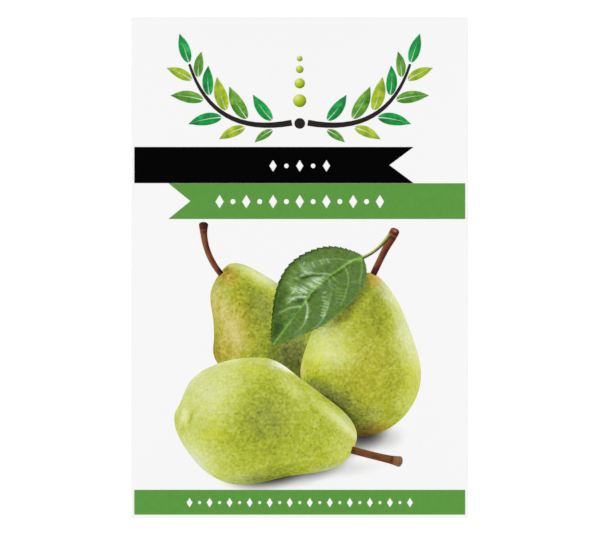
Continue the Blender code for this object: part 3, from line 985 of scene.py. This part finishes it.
# Printed colours of the leaf by tone: the blade, its bluer bloom and its yellower midrib.
LEAF_GREENS = (
    (0.2, "2E4219"), (0.34, "4D662A"), (0.46, "67863E"), (0.6, "87A563"), (0.82, "C0D7A7"),
)
LEAF_BLOOM = (
    (0.2, "2B3F20"), (0.34, "48633B"), (0.46, "628254"), (0.6, "83A47A"), (0.82, "BCD4B6"),
)
LEAF_GLARE = (
    ((4.5, -4.5), (5.5, 3.0), 30, 0.42),
    ((0.0, -7.0), (5.0, 2.5), -25, 0.42),
    ((2.0, -1.0), (3.5, 1.5), -30, 0.24),
    ((-2.5, -9.5), (2.5, 2.0), 20, 0.22),
)
LEAF_LIGHTS = (
    ((-6.5, -18.0), (2.5, 6.0), -25, -0.15),
    ((-7.0, -11.5), (3.5, 15.0), -15, -0.08),
    ((8.0, -10.0), (2.0, 6.0), -10, 0.06),
    ((7.0, -13.0), (1.0, 3.5), -10, 0.05),
    ((2.5, -13.0), (1.0, 4.5), -5, 0.06),
    ((3.5, 0.5), (8.0, 3.5), 20, 0.07),
    ((-3.0, -4.0), (4.0, 3.0), 45, 0.07),
    ((-4.5, -13.0), (3.0, 1.2), 25, 0.06),
    ((-0.5, -21.0), (5.0, 1.6), 52, 0.06),
)
MIDRIB_GREENS = (
    (0.2, "2F4A14"), (0.4, "527A2A"), (0.52, "6D9C3C"), (0.64, "88B852"), (0.76, "A2CC70"),
    (0.9, "C6E0A0"),
)
# The blade pales towards its lower edge and darkens towards its upper one: where that begins
# and ends, as shares of the way from the midrib to that edge, and the tone it adds.
LEAF_EDGES = ((0.94, 1.0, 0.1), (-0.88, -1.0, -0.16))
LEAF_BASE = 0.425
LEAF_NET_PITCH = 1.3
LEAF_RIDGE_TURN = math.radians(-24)
LEAF_RIDGE_SIZE = (2.2, 0.6, 1.0)


def leaf_blade_print():
    """A glossy leaf blade in print: deep green, netted with fine veins, with a broken glare."""
    material, shader = new_finish("leaf_blade_print")
    place = card_place(material)
    grain = add_node(material, "ShaderNodeAttribute", attribute_name="form_grain").outputs["Vector"]
    marks = add_node(material, "ShaderNodeSeparateXYZ", {0: grain})
    light, yellow, margin = (marks.outputs[axis] for axis in "XYZ")
    soft = ovals_total(material, place, LEAF_LIGHTS)
    ridges = add_node(
        material,
        "ShaderNodeMapping",
        {"Vector": place, "Rotation": (0.0, 0.0, LEAF_RIDGE_TURN), "Scale": LEAF_RIDGE_SIZE},
        vector_type="TEXTURE",
    ).outputs["Vector"]
    broken = wandering(
        material,
        ridges,
        {"Scale": 1.0, "Detail": 2.0},
        {"From Min": 0.34, "From Max": 0.6, "To Min": 0.2, "To Max": 1.15},
    )
    glare = add_node(
        material,
        "ShaderNodeMath",
        {0: ovals_total(material, place, LEAF_GLARE), 1: broken},
        operation="MULTIPLY",
    ).outputs["Value"]
    net = add_node(
        material,
        "ShaderNodeTexVoronoi",
        {"Vector": ridges, "Scale": 1 / LEAF_NET_PITCH},
        feature="DISTANCE_TO_EDGE",
    ).outputs["Distance"]
    net_lines = add_node(
        material,
        "ShaderNodeMapRange",
        {"Value": net, "From Min": 0.0, "From Max": 0.2, "To Min": 0.03, "To Max": -0.01},
        interpolation_type="SMOOTHSTEP",
    ).outputs["Result"]
    cloud = wandering(
        material, place, {"Scale": 0.9, "Detail": 4.0}, {"To Min": -0.10, "To Max": 0.10}
    )
    edges = [
        add_node(
            material,
            "ShaderNodeMapRange",
            {"Value": margin, "From Min": start, "From Max": end, "To Min": 0.0, "To Max": tone},
        ).outputs["Result"]
        for start, end, tone in LEAF_EDGES
    ]
    tone = total(material, [light, LEAF_BASE, soft, glare, net_lines, cloud, *edges])
    bloom = wandering(
        material,
        place,
        {"Scale": 0.35, "Detail": 3.0},
        {"From Min": 0.35, "From Max": 0.7, "To Max": 0.8},
    )
    layers = ((bloom, LEAF_BLOOM), (yellow, MIDRIB_GREENS))
    colour = layered_ink(material, tone, LEAF_GREENS, layers)
    varnish(material, shader, place, colour, roughness=0.38)
    return material


STALK_BROWNS = (
    (0.05, "2A1408"), (0.22, "5A3616"), (0.34, "785030"), (0.48, "94735A"), (0.68, "C0A690"),
)
STALK_RED_BROWNS = (
    (0.05, "2A1008"), (0.2, "582C14"), (0.32, "7E4A30"), (0.48, "9C725A"), (0.68, "C0A690"),
)
STALK_END_REACH = 4.0
STREAK_FREQUENCY = (0.35, 1.8, 1.0)
# A stalk's own tones, from its end down along the reach of its knob, and its lights.
BACK_STALK_LOOK = {
    "browns": STALK_RED_BROWNS,
    "base": 0.30,
    "tilt": (-0.12, -0.02, 0.0),
    "end_tones": ((0.0, -0.16), (0.28, -0.13), (0.4, 0.0), (0.5, -0.05), (0.75, 0.0), (1.0, 0.0)),
    "lights": (((-23.6, -1.6), (2.2, 2.4), 0, -0.16),),
}
RIGHT_STALK_LOOK = {
    "browns": STALK_RED_BROWNS,
    "base": 0.28,
    "tilt": (-0.10, 0.06, 0.0),
    "end_tones": ((0.0, 0.0), (0.2, -0.1), (0.36, 0.08), (0.52, -0.06), (0.75, 0.02), (1.0, 0.0)),
    "lights": (((22.1, -1.2), (2.2, 2.4), 0, -0.16), ((28.6, 11.0), (1.0, 0.8), 0, 0.25)),
}
FRONT_STALK_LOOK = {
    "browns": STALK_BROWNS,
    "base": 0.31,
    "tilt": (0.0, 0.04, 0.0),
    "end_tones": ((0.0, 0.09), (0.12, 0.12), (0.4, 0.08), (0.55, -0.06), (0.8, 0.0), (1.0, 0.0)),
    "lights": (((16.0, -54.6), (1.6, 2.0), 0, -0.1),),
}


def stalk_bark_print(name, look):
    """Brown pear stalk in print: woody streaks along it and a rough ringed knob at its end."""
    material, shader = new_finish(name)
    place = card_place(material)
    grain = add_node(material, "ShaderNodeAttribute", attribute_name="form_grain").outputs["Vector"]
    lit = form_light(material, look["tilt"])
    along = add_node(
        material, "ShaderNodeMapping", {"Vector": grain, "Scale": STREAK_FREQUENCY}
    ).outputs["Vector"]
    streaks = wandering(
        material, along, {"Scale": 1.0, "Detail": 3.0}, {"To Min": -0.14, "To Max": 0.14}
    )
    back = add_node(material, "ShaderNodeSeparateXYZ", {0: grain}).outputs["X"]
    knob = profile(material, back, STALK_END_REACH, look["end_tones"])
    soft = ovals_total(material, place, look["lights"])
    tone = total(material, [lit, streaks, knob, soft, look["base"]])
    colour = tone_ramp(material, tone, look["browns"])
    varnish(material, shader, place, colour)
    return material


def leaf_stalk_print():
    """The thin leaf stalk in print: dull olive below, yellow-green along its lit upper side."""
    material, shader = new_finish("leaf_stalk_print")
    place = card_place(material)
    lit = form_light(material, (-0.22, 0.30, 0.0))
    spread = wandering(
        material, place, {"Scale": 1.2, "Detail": 2.0}, {"To Min": 0.32, "To Max": 0.56}
    )
    stops = (
        (0.15, "3A3A16"), (0.30, "5A5A28"), (0.42, "74793A"), (0.55, "98A455"), (0.70, "BECB7E"),
    )
    colour = tone_ramp(material, total(material, [lit, spread]), stops)
    varnish(material, shader, place, colour, roughness=0.4)
    return material


def crest_wash_print(name, stops):
    """A crest leaf in print: a watery wash of lighter and darker, one half lighter than the other."""
    material, shader = new_finish(name)
    place = card_place(material)
    grain = add_node(material, "ShaderNodeAttribute", attribute_name="form_grain").outputs["Vector"]
    across = add_node(material, "ShaderNodeSeparateXYZ", {0: grain}).outputs["Y"]
    wash = wandering(
        material,
        place,
        {"Scale": 0.42, "Detail": 5.0, "Roughness": 0.62},
        {"From Min": 0.25, "From Max": 0.75},
    )
    side = add_node(
        material,
        "ShaderNodeMapRange",
        {"Value": across, "From Min": -1.0, "From Max": 1.0, "To Min": -0.16, "To Max": 0.16},
    ).outputs["Result"]
    colour = tone_ramp(material, total(material, [wash, side]), stops)
    varnish(material, shader, place, colour)
    return material


def berry_print(name):
    """A lime berry in print: a small lit ball."""
    material, shader = new_finish(name)
    place = card_place(material)
    tone = total(material, [form_light(material, (-0.28, 0.34, 0.42)), 0.28])
    stops = (
        (0.05, "5B7A16"), (0.35, "8FA826"), (0.6, "A8C030"), (0.78, "C4D24E"), (0.9, "E2E98E"),
    )
    colour = tone_ramp(material, tone, stops)
    varnish(material, shader, place, colour, roughness=0.4)
    return material


# The label.

def lay_down(piece, finish, slot, *nodes):
    """Gives a finished piece its material and its place in the model."""
    wear_finish(piece, finish)
    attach(piece, "root")
    if nodes:
        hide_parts(*nodes)
    return piece


bpy.ops.object.select_all(action="DESELECT")
lay_down(die_cut_card(), satin_pvc_card(), "card_plastic", "label_sheet")

black_ink = solid_offset_ink("black_solid_ink", "050507", "010102", shine=0.03)
wear_finish(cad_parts["black_ribbon"], black_ink)
band_ink = solid_offset_ink("green_solid_ink", "629C48", "5E9844")
wear_finish(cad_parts["green_ribbon"], band_ink)
wear_finish(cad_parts["foot_band"], band_ink)

for name, pear, height, look in (
    ("back_pear", BACK_PEAR, BACK_PEAR_FILM, BACK_PEAR_LOOK),
    ("right_pear", RIGHT_PEAR, RIGHT_PEAR_FILM, RIGHT_PEAR_LOOK),
    ("front_pear", FRONT_PEAR, FRONT_PEAR_FILM, FRONT_PEAR_LOOK),
):
    piece = pear_film(name + "_print", pear, height)
    lay_down(piece, pear_skin_print(name + "_skin_print", look), name + "_ink", name)

for name, stalk, look in (
    ("back_stalk", BACK_STALK, BACK_STALK_LOOK),
    ("right_stalk", RIGHT_STALK, RIGHT_STALK_LOOK),
    ("front_stalk", FRONT_STALK, FRONT_STALK_LOOK),
):
    piece = stalk_film(name + "_print", stalk, STALK_FILM)
    lay_down(piece, stalk_bark_print(name + "_bark_print", look), "stalk_ink", name)
piece = stalk_film("leaf_stalk_print", LEAF_STALK, TOP_FILM)
lay_down(piece, leaf_stalk_print(), "leaf_stalk_ink", "leaf_stalk")

lay_down(leaf_film("leaf_print", LEAF_FILM), leaf_blade_print(), "leaf_ink", "leaf")

# The crest.
crest_inks = (
    ("lime_ink", crest_wash_print("lime_wash_print", (
        (0.1, "6E9A2C"), (0.35, "93B030"), (0.6, "A8C030"), (0.85, "C6D24C")))),
    ("emerald_ink", crest_wash_print("emerald_wash_print", (
        (0.1, "06713C"), (0.35, "0A8A45"), (0.6, "12A04C"), (0.85, "3DB65E")))),
    ("mid_green_ink", crest_wash_print("mid_green_wash_print", (
        (0.1, "3E7A2A"), (0.35, "518C34"), (0.6, "62A03E"), (0.85, "86B84A")))),
)
for hand_name, hand in (("right", 1), ("left", -1)):
    spine = BOUGH["spine"]
    leaves = []
    for number, (place, above, below) in enumerate(BOUGH_LEAVES, 1):
        half_width = smooth_value(BOUGH["half_widths"], place)
        dx, dy = spine_direction(spine, place)
        along = math.atan2(dy, dx)
        for side, rank, (size, angle) in ((1, "upper", above), (-1, "lower", below)):
            base = beside(spine, place, side * (half_width + BOUGH_LEAF_CLEARANCE))
            heading = along + side * math.radians(angle)
            leaves.append((f"{rank}_leaf_{number}", base, heading, size,
                           -side * BOUGH_LEAF_CURL, number + (side < 0)))
    dx, dy = spine_direction(spine, 1.0)
    tip = spine_point(spine, 1.0)
    base = (tip[0] + dx * BOUGH_LEAF_CLEARANCE, tip[1] + dy * BOUGH_LEAF_CLEARANCE)
    leaves.append(("tip_leaf", base, math.atan2(dy, dx), TIP_LEAF_LENGTH, 0.0, 1))
    for rank, base, heading, size, curl, order in leaves:
        node = f"{hand_name}_{rank}"
        slot_name, finish = crest_inks[order % len(crest_inks)]
        piece = crest_leaf(node + "_print", base, heading, size, curl, hand)
        lay_down(piece, finish, slot_name, node)
bough_finish = solid_offset_ink("bough_brown_ink", "34190F", "1C0C08", roughness=0.45, shine=0.3)
for node in ("left_bough", "right_bough", "crest_knot"):
    wear_finish(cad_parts[node], bough_finish)
berry_finish = berry_print("lime_berry_print")
for number, (centre, radius) in enumerate(BERRIES, 1):
    node = f"crest_berry_{number}"
    lay_down(berry_film(node + "_print", centre, radius), berry_finish, "lime_ink", node)


# The studio: a pale table top, a softbox to either side and an even fill.

def pale_table_top():
    """Matt white laminate, wiped clean: an even pale surface with the faintest clouding."""
    material, shader = new_finish("pale_table_top")
    place = add_node(material, "ShaderNodeTexCoord").outputs["Object"]
    cloud = add_node(
        material, "ShaderNodeTexNoise", {"Vector": place, "Scale": 14.0, "Detail": 3.0}
    ).outputs["Fac"]
    colour = tone_ramp(material, cloud, ((0.3, "F8F8F8"), (0.7, "FCFCFC")), linear)
    material.node_tree.links.new(colour, shader.inputs["Base Color"])
    shader.inputs["Roughness"].default_value = 0.7
    shader.inputs["Specular IOR Level"].default_value = 0.2
    return material


bpy.ops.object.select_all(action="DESELECT")
bpy.ops.mesh.primitive_plane_add(size=FLOOR_SIZE)
floor = bpy.context.active_object
floor.name = "floor"
wear_finish(floor, pale_table_top())

for side_name, side in (("left", -1), ("right", 1)):
    away = SOFTBOX_DISTANCE * math.sin(SOFTBOX_SLANT)
    above = SOFTBOX_DISTANCE * math.cos(SOFTBOX_SLANT)
    bpy.ops.object.light_add(
        type="AREA", location=(side * away, 0.0, above), rotation=(0.0, side * SOFTBOX_SLANT, 0.0)
    )
    softbox = bpy.context.active_object
    softbox.name = side_name + "_softbox"
    softbox.data.size = SOFTBOX_SIZE
    softbox.data.energy = SOFTBOX_POWER

world = bpy.data.worlds.new("even_fill")
world.use_nodes = True
world.node_tree.nodes["Background"].inputs["Color"].default_value = (1.0, 1.0, 1.0, 1.0)
world.node_tree.nodes["Background"].inputs["Strength"].default_value = FILL_STRENGTH
bpy.context.scene.world = world
bpy.context.scene.view_settings.view_transform = "Standard"

height = LENS / SENSOR * FRAME_WIDTH + CARD_THICKNESS
bpy.ops.object.camera_add(
    location=(CAMERA_AIM[0] * MM, CAMERA_AIM[1] * MM, height * MM), rotation=(0.0, 0.0, 0.0)
)
camera = bpy.context.active_object
camera.name = "copy_stand_camera"
camera.data.lens = LENS
camera.data.sensor_width = SENSOR
camera.data.clip_start = NEAREST_SEEN
bpy.context.scene.camera = camera
